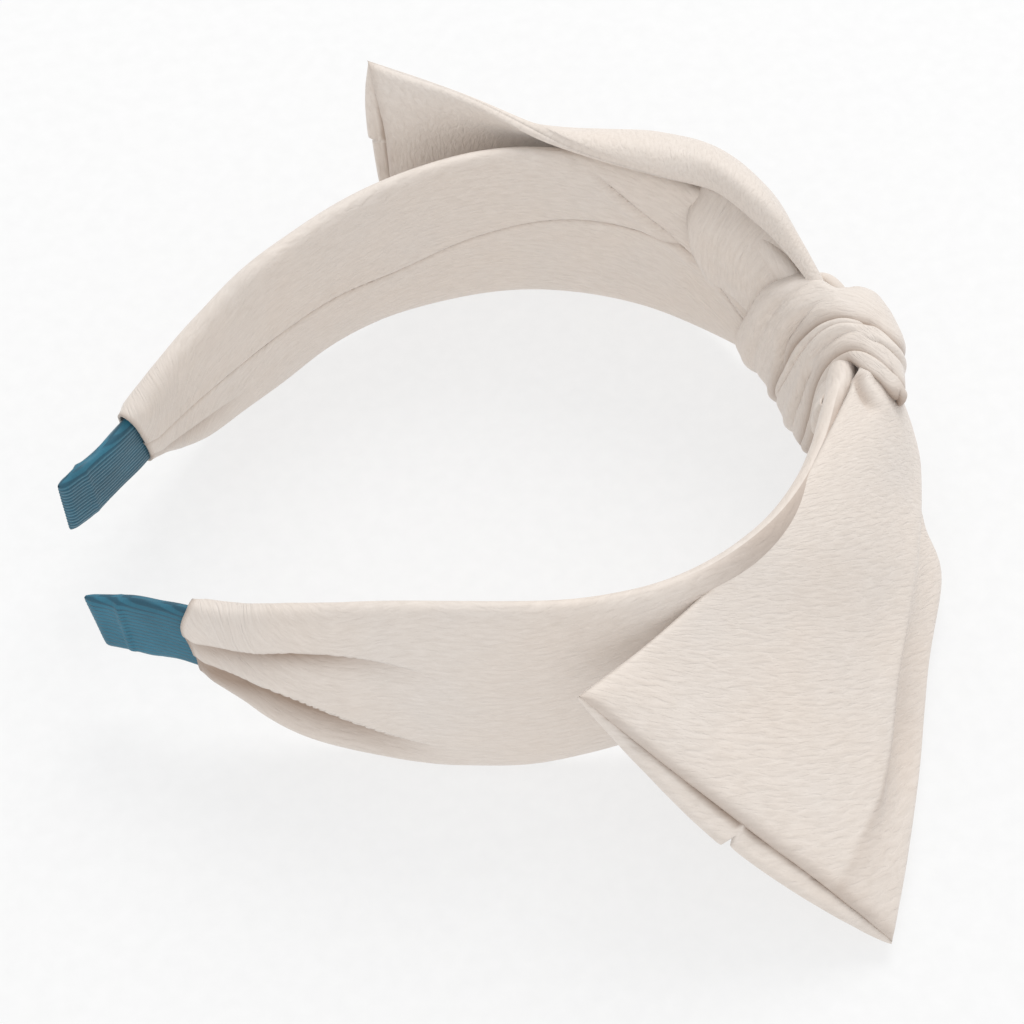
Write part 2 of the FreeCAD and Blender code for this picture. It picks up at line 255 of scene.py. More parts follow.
# ---- materials -------------------------------------------------------------------------------
class Material:
    """A node material with one Principled shader."""

    def __init__(self, name, roughness):
        self.material = bpy.data.materials.new(name)
        self.material.use_nodes = True
        self.tree = self.material.node_tree
        self.shader = self.tree.nodes["Principled BSDF"]
        self.set("Roughness", roughness)

    def set(self, name, value):
        """Give one input of the shader a fixed value."""
        self.shader.inputs[name].default_value = value

    def add(self, kind, **values):
        new = self.tree.nodes.new(kind)
        for key, value in values.items():
            setattr(new, key, value)
        return new

    def link(self, output, socket):
        self.tree.links.new(output, socket)

    def layer(self, name, axis):
        """One coordinate of a UV layer."""
        parts = self.add("ShaderNodeSeparateXYZ")
        self.link(self.add("ShaderNodeUVMap", uv_map=name).outputs["UV"], parts.inputs[0])
        return parts.outputs[axis]

    def noise(self, vector, scale, detail, distortion=0.0):
        texture = self.add("ShaderNodeTexNoise")
        for key, value in (("Scale", scale), ("Detail", detail), ("Distortion", distortion)):
            texture.inputs[key].default_value = value
        self.link(vector, texture.inputs["Vector"])
        return texture.outputs["Fac"]

    def cloth_noise(self, along, across, detail, distortion=0.0):
        """Noise on the cloth, with features of the given sizes in millimetres."""
        source = self.add("ShaderNodeUVMap", uv_map="cloth")
        stretch = self.add("ShaderNodeVectorMath", operation="MULTIPLY")
        stretch.inputs[1].default_value = (1 / along, 1 / across, 0)
        self.link(source.outputs["UV"], stretch.inputs[0])
        return self.noise(stretch.outputs[0], 1.0, detail, distortion)

    def space_noise(self, scale):
        """Noise in the object's own space, with this many features to a metre."""
        return self.noise(self.add("ShaderNodeTexCoord").outputs["Object"], scale, 3.0)

    def math(self, operation, first, second):
        step = self.add("ShaderNodeMath", operation=operation)
        for socket, value in zip(step.inputs, (first, second)):
            if isinstance(value, (int, float)):
                socket.default_value = value
            else:
                self.link(value, socket)
        return step.outputs[0]

    def ramp(self, factor, low, high):
        """Colour from low to high as the factor goes from 0.3 to 0.7."""
        ramp = self.add("ShaderNodeValToRGB")
        ramp.color_ramp.elements[0].position = 0.3
        ramp.color_ramp.elements[1].position = 0.7
        ramp.color_ramp.elements[0].color = (*low, 1)
        ramp.color_ramp.elements[1].color = (*high, 1)
        self.link(factor, ramp.inputs["Fac"])
        return ramp.outputs["Color"]

    def multiply(self, first, second, share):
        mix = self.add("ShaderNodeMix", data_type="RGBA", blend_type="MULTIPLY")
        mix.inputs["Factor"].default_value = share
        self.link(first, mix.inputs[6])
        self.link(second, mix.inputs[7])
        return mix.outputs[2]

    def bumps(self, *layers):
        """Stack of (height, strength, depth in metres), coarsest first."""
        before = None
        for height, strength, depth in layers:
            bump = self.add("ShaderNodeBump")
            bump.inputs["Strength"].default_value = strength
            bump.inputs["Distance"].default_value = depth
            self.link(height, bump.inputs["Height"])
            if before is not None:
                self.link(before, bump.inputs["Normal"])
            before = bump.outputs["Normal"]
        self.link(before, self.shader.inputs["Normal"])

    def roughen(self, factor, low, high):
        spread = self.add("ShaderNodeMapRange")
        spread.inputs["To Min"].default_value = low
        spread.inputs["To Max"].default_value = high
        self.link(factor, spread.inputs["Value"])
        self.link(spread.outputs["Result"], self.shader.inputs["Roughness"])


def crepe(name, colour):
    """Matte satin crepe: short crinkles that run with the grain over a fine weave, with painted shade in the
    crinkles' grooves and, from the crease layer, in folds, recesses and gaps.
    """
    m = Material(name, 0.6)
    crinkle = m.cloth_noise(2.8, 0.66, 2.0, 0.5)
    weave = m.cloth_noise(0.42, 0.3, 1.0)
    patches = m.space_noise(55.0)
    warm = tuple(c * t for c, t in zip(colour, (1.0, 0.985, 0.97)))
    cool = tuple(c * t for c, t in zip(colour, (0.985, 0.99, 0.995)))
    base = m.ramp(patches, warm, cool)
    # Painted shade: the crinkles' grooves are darker in colour as well as bumped.
    painted_groove_shade = m.ramp(crinkle, (0.84, 0.82, 0.8), (1, 1, 1))
    threads = m.ramp(weave, (0.93, 0.925, 0.92), (1, 1, 1))
    colour_out = m.multiply(m.multiply(base, painted_groove_shade, 0.5), threads, 0.35)
    # Painted shade: the crease layer blends the colour towards a warm shadow brown in folds, recesses and
    # gaps between parts.
    warm_shadow = m.add("ShaderNodeRGB")
    warm_shadow.outputs[0].default_value = (0.44, 0.345, 0.28, 1)
    shaded = m.multiply(colour_out, warm_shadow.outputs[0], 1.0)
    m.link(m.layer("crease", "X"), shaded.node.inputs["Factor"])
    m.link(shaded, m.shader.inputs["Base Color"])
    m.bumps((crinkle, 1.0, 0.00024), (weave, 0.3, 0.00004))
    m.roughen(crinkle, 0.5, 0.68)
    m.set("Sheen Weight", 0.22)
    m.set("Sheen Roughness", 0.45)
    m.set("Specular IOR Level", 0.38)
    return m.material


def grosgrain(name, colour):
    """Ribbed ribbon: ribs along the arm, thread by thread, with painted shade between the ribs."""
    m = Material(name, 0.55)
    wobble = m.cloth_noise(5, 2, 2.0)
    across = m.math("ADD", m.layer("cloth", "Y"), m.math("MULTIPLY", wobble, 0.25))
    rib = m.math("SINE", m.math("MULTIPLY", across, 2 * math.pi / RIB_PITCH), 0.0)
    rib = m.math("ADD", m.math("MULTIPLY", rib, 0.5), 0.5)
    thread = m.cloth_noise(0.22, 0.5, 1.0)
    patches = m.space_noise(150.0)
    dark = tuple(c * 0.86 for c in colour)
    light = tuple(c * 1.12 for c in colour)
    base = m.ramp(patches, dark, light)
    # Painted shade: the colour darkens between the ribs as well as the ribs being bumped.
    painted_groove_shade = m.ramp(rib, (0.42, 0.48, 0.52), (1, 1, 1))
    threads = m.ramp(thread, (0.8, 0.82, 0.84), (1, 1, 1))
    m.link(m.multiply(m.multiply(base, painted_groove_shade, 0.8), threads, 0.6), m.shader.inputs["Base Color"])
    m.bumps((rib, 0.7, 0.00016), (thread, 0.3, 0.00006))
    m.roughen(thread, 0.42, 0.62)
    m.set("Sheen Weight", 0.12)
    m.set("Specular IOR Level", 0.45)
    return m.material


def plain_cloth(name, colour, scale, roughness):
    """Non-woven sheet, foam or thread: fine mottling and bump."""
    m = Material(name, roughness)
    grain = m.space_noise(scale)
    dark = tuple(c * 0.85 for c in colour)
    m.link(m.ramp(grain, dark, colour), m.shader.inputs["Base Color"])
    m.bumps((grain, 0.3, 0.0001))
    m.roughen(grain, roughness - 0.08, min(1.0, roughness + 0.08))
    return m.material


CREPE = crepe("crepe_cream", (0.765, 0.695, 0.635))
# A uniformly darker copy of the cream crepe: painted shade for the knot's filling.
CREPE_SHADED_COPY = crepe("crepe_cream_painted_shade_copy", (0.74, 0.672, 0.615))
GROSGRAIN = grosgrain("grosgrain_teal", (0.022, 0.15, 0.225))
INTERLINING = plain_cloth("interlining_white", (0.86, 0.85, 0.82), 900.0, 0.9)
THREAD = plain_cloth("thread_beige", (0.62, 0.54, 0.47), 2500.0, 0.7)
PLASTIC = plain_cloth("moulded_plastic_ivory", (0.8, 0.8, 0.77), 300.0, 0.45)
FOAM = plain_cloth("foam_white", (0.85, 0.84, 0.8), 1600.0, 0.95)


# ---- the arms --------------------------------------------------------------------------------
# Top and bottom edges of the fabric band, as (distance from the crown, height above the table).
BAND_TOP = {
    LEFT: ((4, 37.5), (17, 39.6), (30, 40.6), (53, 41.9), (77, 42.8), (92, 43.6), (109, 44),
           (118, 43.3), (130, 41), (143, 36.8), (155, 32), (165, 29.6)),
    RIGHT: ((4, 37.5), (17, 39), (30, 40.5), (50, 42), (70, 43), (98, 43), (117, 42),
            (130, 41), (142, 37.8), (155, 34), (167, 30.2)),
}
BAND_BOTTOM = {
    LEFT: ((4, 6), (30, 4.6), (70, 4.4), (86, 4), (94, 2.6), (104, 0.7), (114, 0.5), (126, 1),
           (140, 3.4), (148.5, 6.4), (155.5, 10.2), (162, 13.4)),
    RIGHT: ((4, 6.5), (19, 4.6), (32, 1.6), (46, 0.9), (62, 0.6), (83, 0.7), (100, 2), (112, 1.8),
            (124, 0.7), (134, 1.4), (144, 3.8), (151, 8), (158, 13), (166, 13.6)),
}
# How far the band leans inwards at its top, in degrees.
BAND_LEAN = {
    LEFT: ((0, 0), (12, 0), (17, 2), (24, 6.5), (35, 8), (60, 5.5), (90, 3.1), (150, 3.1), (165, 3),
           (182, 3)),
    RIGHT: ((0, 2), (20, 4), (40, 5.3), (150, 5.3), (182, 3)),
}
# Sewn seam along the inner face, as (distance, height).
SEAM_LINE = {
    LEFT: ((4, 18), (30, 23), (60, 25), (90, 21), (115, 20), (140, 20), (165, 22)),
    RIGHT: ((4, 15), (20, 16), (35, 26), (46, 26.4), (63, 25.4), (79, 22), (96, 18.4), (113, 20.2),
            (140, 20), (165, 22)),
}
# Pleats gathered under the ribbon: side, face (1 outer, -1 inner), line, depth, width, where they fade.
PLEATS = (
    (LEFT, 1, ((118, 29.6), (134, 31.6), (142, 30.3), (150, 27.4), (162, 23.4)), 1.9, 5.2, (117, 141)),
    (LEFT, 1, ((118, 8.0), (129, 12.4), (140, 17.4), (148, 19.2), (163, 18.6)), 3.3, 8.0, (116, 139)),
    (LEFT, -1, ((120, 12.0), (140, 15.0), (163, 19.0)), 1.2, 4.0, (128, 152)),
    (LEFT, -1, ((120, 33.0), (140, 30.0), (163, 27.0)), 0.9, 3.5, (130, 154)),
    (RIGHT, 1, ((120, 10.0), (140, 14.0), (163, 18.5)), 2.0, 6.0, (124, 148)),
    (RIGHT, 1, ((120, 33.0), (140, 29.0), (163, 25.0)), 1.3, 4.5, (126, 150)),
    (RIGHT, -1, ((120, 9.0), (140, 12.5), (163, 18.0)), 0.8, 4.0, (130, 154)),
)


# How far the cloth stands off the centreline, outwards and inwards, as (distance, millimetres).
PUFF_OUT = ((0, 2.6), (30, 2.9), (60, 3.1), (130, 3.1), (150, 2.8), (160, 2.3), (166, 2.1))
PUFF_IN = ((0, 2.6), (30, 2.6), (60, 2.5), (140, 2.7), (160, 2.9), (166, 2.9))


def band_point(distance, side, across, height):
    """Point of the band, across its thickness and at a height, with the band's lean."""
    x, y, out_x, out_y = hoop(distance, side)
    lean = np.radians(through(BAND_LEAN[side], distance))
    offset = across - (height - BAND_Z) * np.tan(lean)
    return np.stack([x + offset * out_x, y + offset * out_y, height + 0 * x], axis=-1)


def edge_to_edge(low_edge, high_edge, distance, rise):
    """Height at a rise from -1, the lower edge, to 1, the upper edge, and the edges' own heights."""
    top = through(high_edge, distance)
    bottom = through(low_edge, distance)
    return (top + bottom) / 2 + rise * (top - bottom) / 2, bottom, top


def pleat_shift(height, line, depth, width):
    """Push outwards and down of a pleat whose lip follows line, above it a soft roll, below it a tuck."""
    above = height - line
    roll = 0.35 * np.exp(-(np.maximum(above, 0) / 3.4) ** 2) * ease(-0.6, 0.3, above)
    tuck = -1.0 * np.exp(-(np.maximum(-above, 0) / width) ** 2) * (1 - ease(-0.6, 0.3, above))
    lip = -0.3 * hill(above, 0.25, 0.8)
    return depth * (roll + tuck), depth * lip


def sleeve_end(side, height):
    """Where the fabric tube stops: it bulges over the ribbon on the left and slants on the right."""
    if side == LEFT:
        return SLEEVE_END - 1.2 + 2.4 * hill(height, 25.5, 5.5)
    return SLEEVE_END - 0.6 + 0.26 * (height - BAND_Z)


def bend_with_arm(piece):
    """Bakes the piece's placement into its mesh."""
    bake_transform(piece)


def make_sleeve(side):
    """Crepe tube of one arm with its seam, gathers and ripples; it reaches into the knot.

    shade is how dark each place is, from 0 to 1.
    """
    rows = 300
    columns = 320
    first = 2.0
    share = np.linspace(0, 1, rows)[:, None]
    angle = np.linspace(-math.pi / 2, 1.5 * math.pi, columns, endpoint=False)[None, :]
    rise = np.sin(angle)
    outer = np.cos(angle) >= 0
    height, _, _ = edge_to_edge(BAND_BOTTOM[side], BAND_TOP[side], first + (SLEEVE_END - first) * share, rise)
    distance = first + (sleeve_end(side, height) - first) * share
    height, bottom, top = edge_to_edge(BAND_BOTTOM[side], BAND_TOP[side], distance, rise)

    puff_out = through(PUFF_OUT, distance)
    puff_in = through(PUFF_IN, distance)
    face_out = np.sqrt(np.maximum(1 - np.abs(rise) ** 3.6, 0))
    face_in = np.sqrt(np.maximum(1 - np.abs(rise) ** 6.0, 0))
    flare = 2.2 * hill(height - bottom, 1.8, 3.2)
    flare = flare * ease(100, 128, distance) * (1 - ease(140, 164, distance))
    outwards = puff_out * face_out + (side == LEFT) * flare * face_out
    across = np.where(outer, outwards, -puff_in * face_in)
    push = np.where(outer, 1.0, -1.0) * np.abs(np.cos(angle)) ** 0.35

    lift = 0.0
    shade = 0 * across
    for pleat_side, face, line, depth, width, (fade_from, fade_to) in PLEATS:
        if pleat_side == side:
            strength = depth * ease(fade_from, fade_to, distance)
            flatter = 1 - 0.85 * ease(148, 160, distance)
            out, down = pleat_shift(height, through(line, distance), strength * flatter, width)
            mine = outer if face == 1 else ~outer
            across = across + np.where(mine, face * out * np.abs(np.cos(angle)) ** 0.3, 0.0)
            lift = lift + np.where(mine, down * np.abs(np.cos(angle)), 0.0)
            below = through(line, distance) - height
            dark = np.exp(-(below / (0.75 * width)) ** 2) * ease(-0.5, 0.3, below)
            dark = dark * (0.35 + 0.65 * hill(distance, 144, 11))
            shade = shade + np.where(mine, 0.8 * strength * dark, 0.0)

    if side == LEFT:
        beside_tail = ease(18, 30, distance) * (1 - ease(58, 84, distance)) * outer
        shade = shade + 0.5 * beside_tail * ease(-9, -1, height - top)

    seam = height - through(SEAM_LINE[side], distance)
    shade = shade + np.where(outer, 0.0, 0.3 * hill(seam, 0.0, 0.5))
    groove = -0.5 * hill(seam, 0.0, 0.45)
    groove = groove + 0.3 * hill(seam, 1.1, 1.1) * (seam > 0) + 0.1 * hill(seam, -1.5, 1.5)
    across = across - np.where(outer, 0.0, groove * ease(10, 20, distance))

    where = np.stack([distance, height + 60.0 * (outer - 0.5)], axis=-1)
    waves = 0.34 * ripple(where, 26.0, 11.0, 3.0 + side)
    waves += 0.14 * ripple(where, 12.0, 4.5, 7.0 + side)
    calm = ease(10, 50, distance) * (1 - ease(120, 155, distance))
    tight = 0.10 * ripple(where, 7.0, 1.3, 11.0 + side) * (1 - calm)
    across = across + push * (waves + tight)
    where = np.stack([distance, np.sign(rise) * 9.0 + 0 * distance], axis=-1)
    edge = 0.3 * ripple(where, 17.0, 5.0, 17.0 + side)
    height = height + lift + np.maximum(edge, -0.3) * np.abs(rise) ** 6

    if side == RIGHT:               # slanting crease on the inner face, up to the top edge
        crease = height - through(((28, 20), (35, 25.8), (46, 32.0), (57, 40.6)), distance)
        soft = -0.7 * hill(crease, 0.0, 0.8) + 0.6 * hill(crease, -2.0, 1.8)
        window = ease(30, 37, distance) * (1 - ease(52, 58, distance))
        across = across - np.where(outer, 0.0, soft * window)

    hug = ease(0.982, 1.0, share) * 0.3
    across = across * (1 - hug) - 0.3 * hug
    height = np.maximum(height, 0.25)
    points = band_point(distance, side, across, height)
    around = running_length(np.concatenate([points, points[:, :1]], axis=1), 1)[:, :-1]
    uv = np.stack([distance, around], axis=-1)
    shade = (shade + 0.5 * ease(0.993, 1.0, share)).clip(0, 0.9)
    name = SIDE_NAME[side] + "_sleeve_cloth"
    piece = cloth(name, points, uv, CREPE, closed=True, flip=side == RIGHT, shade=shade)
    bend_with_arm(piece)
    return piece


def make_strip(side, name, material, thickness, offset, half_heights, last):
    """Half of a strip inside the band, from the crown to its end."""
    distance = np.linspace(0.0, last, 90)[:, None]
    angle = np.linspace(0, 2 * math.pi, 32, endpoint=False)[None, :]
    taper = 1 - 0.4 * ease(140, 155, distance)
    across = offset + taper * thickness / 2 * np.sign(np.cos(angle)) * np.abs(np.cos(angle)) ** 0.5
    half = through(half_heights, distance)
    height = BAND_Z + half * np.sign(np.sin(angle)) * np.abs(np.sin(angle)) ** 0.35
    closing = np.sqrt(np.clip((last + 0.01 - distance) / 3.0, 0.02, 1.0))
    height = BAND_Z + (height - BAND_Z) * closing
    points = band_point(distance + 0 * angle, side, across + 0 * distance, height)
    uv = np.stack([distance + 0 * angle, height], axis=-1)
    piece = cloth(name, points, uv, material, closed=True, thickness=thickness * 0.3, flip=side == RIGHT)
    bend_with_arm(piece)
    return piece


# Half the width of the strip and of the foam, as (distance, millimetres).
STRIP_HALF = ((0, 11), (90, 11), (130, 9), (150, 6.5), (162, 5), (180, 5))
PAD_HALF = ((0, 11.5), (90, 11.5), (130, 9.5), (142, 8))

# Upper and lower edges of the ribbon, as (distance, height).
RIBBON_TOP = {
    LEFT: ((156, 28.6), (163, 28.4), (168, 27.6), (173, 27.2), (177, 26.2), (182, 25.2)),
    RIGHT: ((156, 29.6), (165, 29.4), (172, 28.4), (177, 28.6), (182, 27.8)),
}
RIBBON_BOTTOM = {
    LEFT: ((156, 14.6), (161, 14), (166, 14), (171, 13), (175, 13.2), (182, 12.6)),
    RIGHT: ((156, 14.2), (162, 14), (168, 14.4), (175, 13.8), (182, 14.2)),
}


def make_ribbon(side):
    """Grosgrain folded over the tip of the strip, with its ribs along the arm."""
    columns = 400
    main = np.linspace(0, 0.94, 70)
    fold = 0.94 + 0.06 * np.sin(np.linspace(0, math.pi / 2, 14)[1:])
    share = np.concatenate([main, fold])[:, None]
    angle = np.linspace(-math.pi / 2, 1.5 * math.pi, columns, endpoint=False)[None, :]
    rise = np.sin(angle) * (1 - 0.12 * np.cos(angle) ** 2)
    outer = np.cos(angle) >= 0
    first = 155.0
    slant = 0.17 if side == LEFT else 0.06
    tip = TIP + slant * rise * 7.3
    distance = first + (tip - first) * share
    height, _, _ = edge_to_edge(RIBBON_BOTTOM[side], RIBBON_TOP[side], distance, rise)
    rounding = np.sqrt(np.clip(1 - ((share - 0.94) / 0.06).clip(0, 1) ** 2, 0.0004, 1))
    body_half = through(((155, 1.1), (165, 1.15), (180, 1.1)), distance)
    face = np.maximum(1 - np.abs(rise) ** 8, 0) ** 0.5
    facing = np.where(outer, 1, -1)
    across = facing * body_half * face * rounding
    ribs = 0.06 * np.cos(2 * math.pi * (height - BAND_Z) / RIB_PITCH)
    where = np.stack([distance + 0 * height, height + 40.0 * outer], axis=-1)
    dents = 0.14 * ripple(where, 8.0, 7.0, 23.0 + side)
    crease = 0.4 * hill(distance - 0.12 * (height - BAND_Z), 175.2, 0.55) - 0.3 * ease(175.5, 178.5, distance)
    across = across + facing * face * (ribs + dents + np.where(outer, crease, 0.5 * crease))
    points = band_point(distance, side, across - 0.4, height)
    uv = np.stack([distance, np.where(outer, height, height + 0.3)], axis=-1)
    name = SIDE_NAME[side] + "_ribbon"
    piece = cloth(name, points, uv, GROSGRAIN, closed=True, thickness=0.3, flip=side == RIGHT)
    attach(piece, SIDE_NAME[side] + "_arm")
    return piece


def make_panel(side):
    """Lapped end of the wrapping cloth on the band's inner face, beside the knot."""
    share = np.linspace(0, 1, 60)[:, None]
    level = np.linspace(0, 1, 90)[None, :]
    low = 19.2 + 3.0 * ease(0.0, 1.0, share)
    high = 37.5 + 5.0 * ease(0.0, 0.7, share) if side == RIGHT else 35.5 + 0 * share
    height = low + (high - low) * level
    shift = 0.0 if side == RIGHT else -12.0
    edge = through(((19, 20.0), (20.2, 25.5), (22, 29.0), (26, 31.6), (31, 33.6), (42, 35.4)), height) + shift
    first = 5.0
    distance = first + (edge - first) * share
    rounder = 2.6 if side == RIGHT else 0.9
    bulge = rounder * np.sin(math.pi * level) ** 0.5 * (1 - 0.4 * share)
    bulge = bulge + 0.7 * hill(share, 0.9, 0.09)
    waves = 0.25 * ripple(np.stack([distance, height], axis=-1), 9.0, 5.0, 31.0 + side)
    pleats = 0.25 * np.sin(height * 1.1 + 0.12 * distance) * (1 - share)
    over = 4.6 if side == RIGHT else 1.0
    tuck = 1.5 * ease(0.94, 1.0, share) + over * ease(0.62, 1.0, level) ** 1.6
    tuck = tuck + 0.9 * (1 - ease(0.0, 0.07, level))
    across = -(3.3 + bulge * ease(0.1, 0.7, share) + waves + pleats - tuck)
    points = band_point(distance, side, across, height)
    uv = np.stack([height, distance], axis=-1)
    shade = 0.6 * np.exp(-share / 0.1) + 0 * level
    name = SIDE_NAME[side]
    piece = cloth(name + "_lapped_panel", points, uv, CREPE, thickness=0.45, flip=side == LEFT, shade=shade)
    bend_with_arm(piece)
    return piece


# ---- the knot --------------------------------------------------------------------------------
KNOT_X = 4.2                    # its middle, outside the band's centreline
KNOT_LEAN = 0.40                # how far it leans along the band for each millimetre of height
KNOT_SKEW = 0.10                # and for each millimetre outwards
# Depth of the knot outside its middle, and half its height, against how far along the band it is.
KNOT_OUT = ((-18, 2.2), (-14, 3.8), (-10, 6), (-5, 8.8), (0, 9.5), (6, 8.8), (12, 6.8), (20, 5.4))
KNOT_TALL = ((-18, 17.8), (-14, 19), (-10, 19.8), (-5, 20.5), (0, 20.8), (7, 20.5), (13, 19.4),
             (20, 18.6))
KNOT_IN = 10.5                  # depth inside its middle

# Where the folds cross the knot, as (angle round it, place along the band).  90 is the top,
# 180 the inner side and 0 the outer side.
FOLD_ONE = ((-90, -3.6), (-30, -5.2), (30, -7), (52, -7.3), (76, -5.5), (86, -3), (95, -0.9), (106, 0.7),
            (117, 1.3), (145, 1.2), (162, 0.7), (178, -0.5), (205, -1.6), (270, -3.6))
FOLD_TWO = ((-90, -12.5), (-30, -14.2), (30, -15.6), (60, -16), (83, -15.4), (90, -13.4),
            (93, -11.3), (100, -8.3), (110, -6.6), (120, -6.3), (135, -6.9), (158, -9.3), (172, -11.6),
            (184, -13.6), (210, -14), (270, -12.5))
LIP_EDGE = ((-90, -14.2), (-30, -16.2), (30, -17.6), (60, -18.2), (88, -17.8), (95, -16.6), (99, -14.4),
            (104, -12.7), (110, -10.4), (115, -8.4), (122, -8.2), (141, -10.6), (158, -13.2), (172, -15.4),
            (184, -16.6), (210, -16.2), (270, -14.2))
FAR_EDGE = ((-90, 15.5), (-30, 12.5), (30, 9.6), (70, 8.4), (92, 8.2), (99, 8.9), (104, 11), (116, 14.3),
            (136, 14.8), (153, 15.2), (178, 14.6), (210, 15.6), (270, 15.5))


def knot_surface(angle, place, radial):
    """Point of the knot at an angle round it (degrees) and a place along the band, pushed out by radial."""
    turn = np.radians(angle)
    c = np.cos(turn)
    s = np.sin(turn)
    power = np.where(c > 0, 2.1, 2.6)
    depth = np.where(c > 0, through(KNOT_OUT, place), KNOT_IN) + radial
    tall = through(KNOT_TALL, place) + radial
    x = KNOT_X + depth * np.sign(c) * np.abs(c) ** (2 / power)
    rise = tall * np.sign(s) * np.abs(s) ** (2 / power)
    y = place - KNOT_LEAN * rise - KNOT_SKEW * (x - KNOT_X)
    return np.stack([x, y, np.maximum(BAND_Z + rise, 0.3)], axis=-1)


def edge_drop(inside, radius, depth):
    """How far a rolled edge falls, against the distance inside it."""
    share = np.clip(1 - inside / radius, 0, 1)
    return depth * (1 - np.sqrt(1 - share * share))


def make_wrap(name, near, far, near_edge, far_edge, seed, wrinkles, hidden, extra=None):
    """A band of cloth round the knot between two lines; each edge is (radius, depth) of its roll.

    hidden is how much of the near side lies under the next band.
    """
    rows = 300
    columns = 110
    angle = np.linspace(-90, 270, rows, endpoint=False)[:, None]
    roll = np.linspace(-1.12, 1.12, columns)[None, :]
    inner = roll.clip(-1, 1)
    side_way = 0.35 * inner + 0.65 * np.sin(inner * math.pi / 2)
    under = (np.abs(roll) - 1).clip(0, 1) / 0.12
    low = through(near, angle)
    high = through(far, angle)
    half = (high - low) / 2
    shift = -np.sign(roll) * np.minimum(2.2, 0.5 * half) * under
    place = (low + high) / 2 + half * side_way + shift
    radial = -edge_drop(place - low, *near_edge) - edge_drop(high - place, *far_edge)
    deepest = np.where(roll < 0, near_edge[1], far_edge[1])
    radial = np.where(under > 0, -deepest - 0.5 * under, radial)
    where = np.stack([angle + 0 * roll, place * 8.0], axis=-1)
    fold = ripple(where, 70.0, 44.0, seed) + 0.4 * ripple(where, 36.0, 20.0, seed + 5)
    radial = radial + wrinkles * fold * (under == 0)
    if extra is not None:
        radial = radial + extra(angle, place) * (under == 0)
    shade = 0.75 * np.exp(-(place - low - hidden).clip(0, None) / 1.1) + 0.35 * (under > 0)
    shade = shade + 0.22 * np.exp(-(high - place).clip(0, None) / 0.5)
    points = knot_surface(angle + 0 * place, place, radial)
    around = running_length(points, 0)
    across = running_length(points, 1)
    uv = np.stack([around, across], axis=-1)
    points = points.transpose(1, 0, 2)
    uv = uv.transpose(1, 0, 2)
    shade = shade.T.clip(0, 0.85)
    piece = cloth(name, points, uv, CREPE, closed=True, thickness=0.45, flip=True, shade=shade)
    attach(piece, "crown")
    return piece


def line_fold(angle, place, line, depth, width):
    """A soft crease along a line on the knot, with a roll above it."""
    away = place - through(line, angle)
    return -depth * hill(away, 0.0, width) + 0.6 * depth * hill(away, 2.2 * width, 1.6 * width)


def outer_wrap_folds(angle, place):
    """Soft pleats on the inner side that die out over the top."""
    first_line = ((100, 7.0), (122, 5.4), (148, 3.9), (169, 2.6), (187, -1.0), (230, -2.0))
    second_line = ((100, 11.5), (140, 9.6), (175, 8.2), (200, 7.0), (240, 6.5))
    pleat = line_fold(angle, place, first_line, 0.9, 0.8)
    second = line_fold(angle, place, second_line, 0.6, 0.9)
    fade = ease(104, 150, angle) * (1 - ease(215, 250, angle))
    swell = 2.0 * ease(2.0, 12.0, place) * ease(112, 150, angle) * (1 - ease(225, 262, angle))
    press = swell - 0.7 * hill(angle, 95.0, 22.0) * hill(place, 16.0, 3.5)
    return (pleat + second) * fade + press


def inner_wrap_folds(angle, place):
    """Fine wrinkles that run alongside the first fold over the top."""
    wrinkle_line = ((60, -6.4), (94, -1.9), (108, -0.5), (126, -0.2), (143, -0.9), (180, -2.6))
    valley_line = ((90, -3.4), (112, -2.6), (123, -3.0), (135, -3.4), (160, -5.0))
    bunch_line = ((30, -11.0), (60, -10.6), (80, -8.6), (96, -5.2))
    side_line = ((140, -5.0), (165, -6.8), (185, -9.0), (230, -9.5))
    wrinkle = line_fold(angle, place, wrinkle_line, 0.5, 0.35) * ease(75, 92, angle)
    valley = line_fold(angle, place, valley_line, 0.55, 0.8)
    valley = valley * ease(95, 110, angle) * (1 - ease(140, 165, angle))
    bunch = line_fold(angle, place, bunch_line, 0.7, 0.6) * (1 - ease(80, 100, angle))
    side_pleat = line_fold(angle, place, side_line, 0.8, 0.7) * ease(140, 165, angle)
    return wrinkle + valley + bunch + side_pleat


def make_stitches():
    """Hand stitches that hold the knot to the band, on its inner side."""
    vertices = []
    faces = []
    uv = []
    steps = 14
    sides = 10
    for level in (214.0, 226.0, 238.0):
        share = np.linspace(0, 1, steps)
        path = knot_surface(level + 5 * share, 9.0 + 3.0 * share, 0.35 * np.sin(math.pi * share) + 1.2)
        tangent = unit(np.gradient(path, axis=0))
        first = unit(np.cross(tangent, (0, 0, 1.0)))
        second = np.cross(tangent, first)
        start = len(vertices)
        for i in range(steps):
            radius = 0.3 * math.sqrt(max(0.05, math.sin(math.pi * share[i])))
            for j in range(sides):
                turn = 2 * math.pi * j / sides
                vertices.append(path[i] + radius * (math.cos(turn) * first[i] + math.sin(turn) * second[i]))
                uv.append((share[i] * 4, turn))
        faces += grid_faces(steps, sides, True, start)
        faces.append(tuple(start + j for j in reversed(range(sides))))
        faces.append(tuple(start + (steps - 1) * sides + j for j in range(sides)))
    piece = build("knot_hand_stitches", placed(vertices), faces, uv, THREAD)
    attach(piece, "crown")
    return piece


